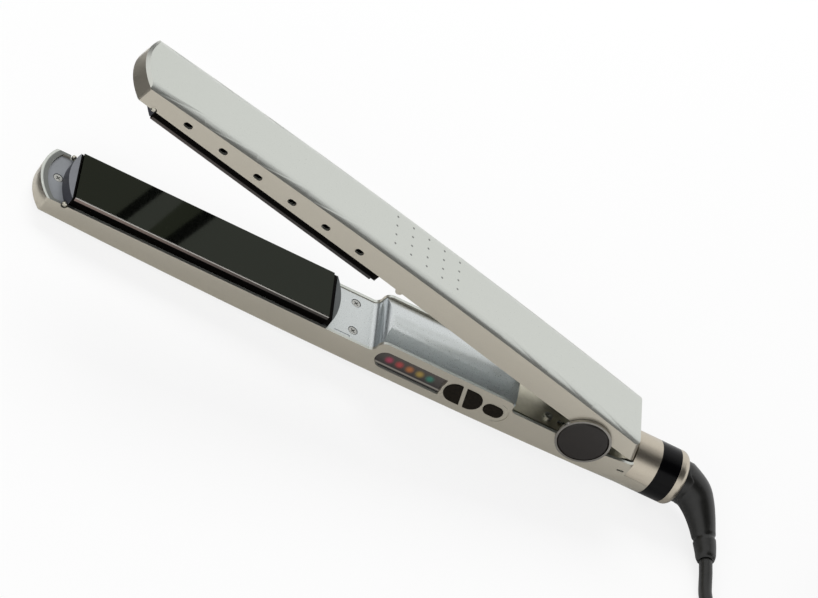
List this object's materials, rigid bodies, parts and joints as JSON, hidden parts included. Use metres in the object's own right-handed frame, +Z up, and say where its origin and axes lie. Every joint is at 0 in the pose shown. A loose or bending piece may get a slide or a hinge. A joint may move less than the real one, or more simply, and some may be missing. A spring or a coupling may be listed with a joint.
{
  "type": "hair crimper",
  "caption": "Two-armed hair styling iron, open, with smooth heating plates, side controls, round rear end and a swivel cord ending in a mains plug.",
  "frame": {"origin": "middle of the flat on the lower arm's back, on which the iron rests together with its round rear end", "axes": "+X along the arms toward the cord, -Y the side with the controls, +Z up from the table"},
  "size_m": [0.4967, 0.1003, 0.0874],
  "materials": {
    "shell_paint": "satin champagne grey paint on moulded plastic",
    "satin_silver": "satin silver",
    "cover_paint": "satin grey, metallic paint",
    "insert_grey": "satin",
    "spacer_grey": "matt, heat-proof",
    "plate_coating": "glossy dark coating",
    "heater": "film wrapped",
    "carrier": "heat-proof, matt",
    "screw_steel": "nickel plated",
    "frame_steel": "zinc plated sheet",
    "spring_steel": "drawn",
    "knuckle_metal": "satin die casting",
    "cap_black": "satin black",
    "ring_chrome": "bright",
    "gloss_black": "gloss",
    "light": "tinted light guide",
    "button_black": "matt",
    "switch_black": "matt",
    "board": "solder-masked laminate",
    "cord_rubber": "satin black",
    "plug_plastic": "satin black",
    "pin_brass": "nickel plated"
  },
  "bodies": {
    "lower_arm": {"lower_shell": "shell_paint", "lower_inner_cover": "cover_paint", "lower_tip_insert": "insert_grey", "lower_front_spacer": "insert_grey", "lower_rear_spacer": "spacer_grey", "lower_plate": "plate_coating", "lower_heater": "heater", "lower_plate_carrier": "carrier", "lower_screws": "screw_steel", "hinge_frame": "frame_steel", "hinge_frame_screws": "screw_steel", "hinge_pin": "spring_steel", "hinge_caps": "cap_black", "hinge_rings": "ring_chrome", "opening_spring": "spring_steel", "display_lens": "gloss_black", "display_lights": "light", "button_switches": "switch_black", "control_board": "board", "collar": "satin_silver", "black_ring": "gloss_black", "end_ring": "satin_silver"},
    "upper_arm": {"upper_shell": "shell_paint", "upper_inner_cover": "cover_paint", "upper_tip_insert": "insert_grey", "upper_front_spacer": "insert_grey", "upper_rear_spacer": "spacer_grey", "upper_plate": "plate_coating", "upper_heater": "heater", "upper_plate_carrier": "carrier", "upper_screws": "screw_steel", "upper_hinge_knuckle": "knuckle_metal", "knuckle_screws": "screw_steel"},
    "minus_key": {"minus_button": "button_black"},
    "plus_key": {"plus_button": "button_black"},
    "power_key": {"power_button": "button_black"},
    "cord_end": {"swivel_core": "cord_rubber", "swivel_clip": "screw_steel", "strain_relief": "cord_rubber", "cord_tube": "cord_rubber", "cord_coil": "cord_rubber", "cord_tie": "cord_rubber", "plug": "plug_plastic", "plug_pins": "pin_brass"}
  },
  "joints": [
    {"name": "arm_hinge", "type": "hinge", "parent": "lower_arm", "child": "upper_arm", "pos_m": [0.21265, 0, 0.02271], "axis": [0, 1, 0], "range_deg": [-12.8, 0], "stiffness_Nm_per_rad": 2, "springref_deg": 28.65, "deforming": ["opening_spring"]},
    {"name": "minus_press", "type": "slide", "parent": "lower_arm", "child": "minus_key", "axis": [0, 1, 0], "range_m": [0, 0.0005], "stiffness_N_per_m": 800, "springref_m": -0.0005},
    {"name": "plus_press", "type": "slide", "parent": "lower_arm", "child": "plus_key", "axis": [0, 1, 0], "range_m": [0, 0.0005], "stiffness_N_per_m": 800, "springref_m": -0.0005},
    {"name": "power_press", "type": "slide", "parent": "lower_arm", "child": "power_key", "axis": [0, 1, 0], "range_m": [0, 0.0005], "stiffness_N_per_m": 800, "springref_m": -0.0005},
    {"name": "cord_swivel", "type": "hinge", "parent": "lower_arm", "child": "cord_end", "pos_m": [0.25276, 0, 0.01299], "axis": [0.9996, 0, 0.0296], "continuous": true}
  ]
}
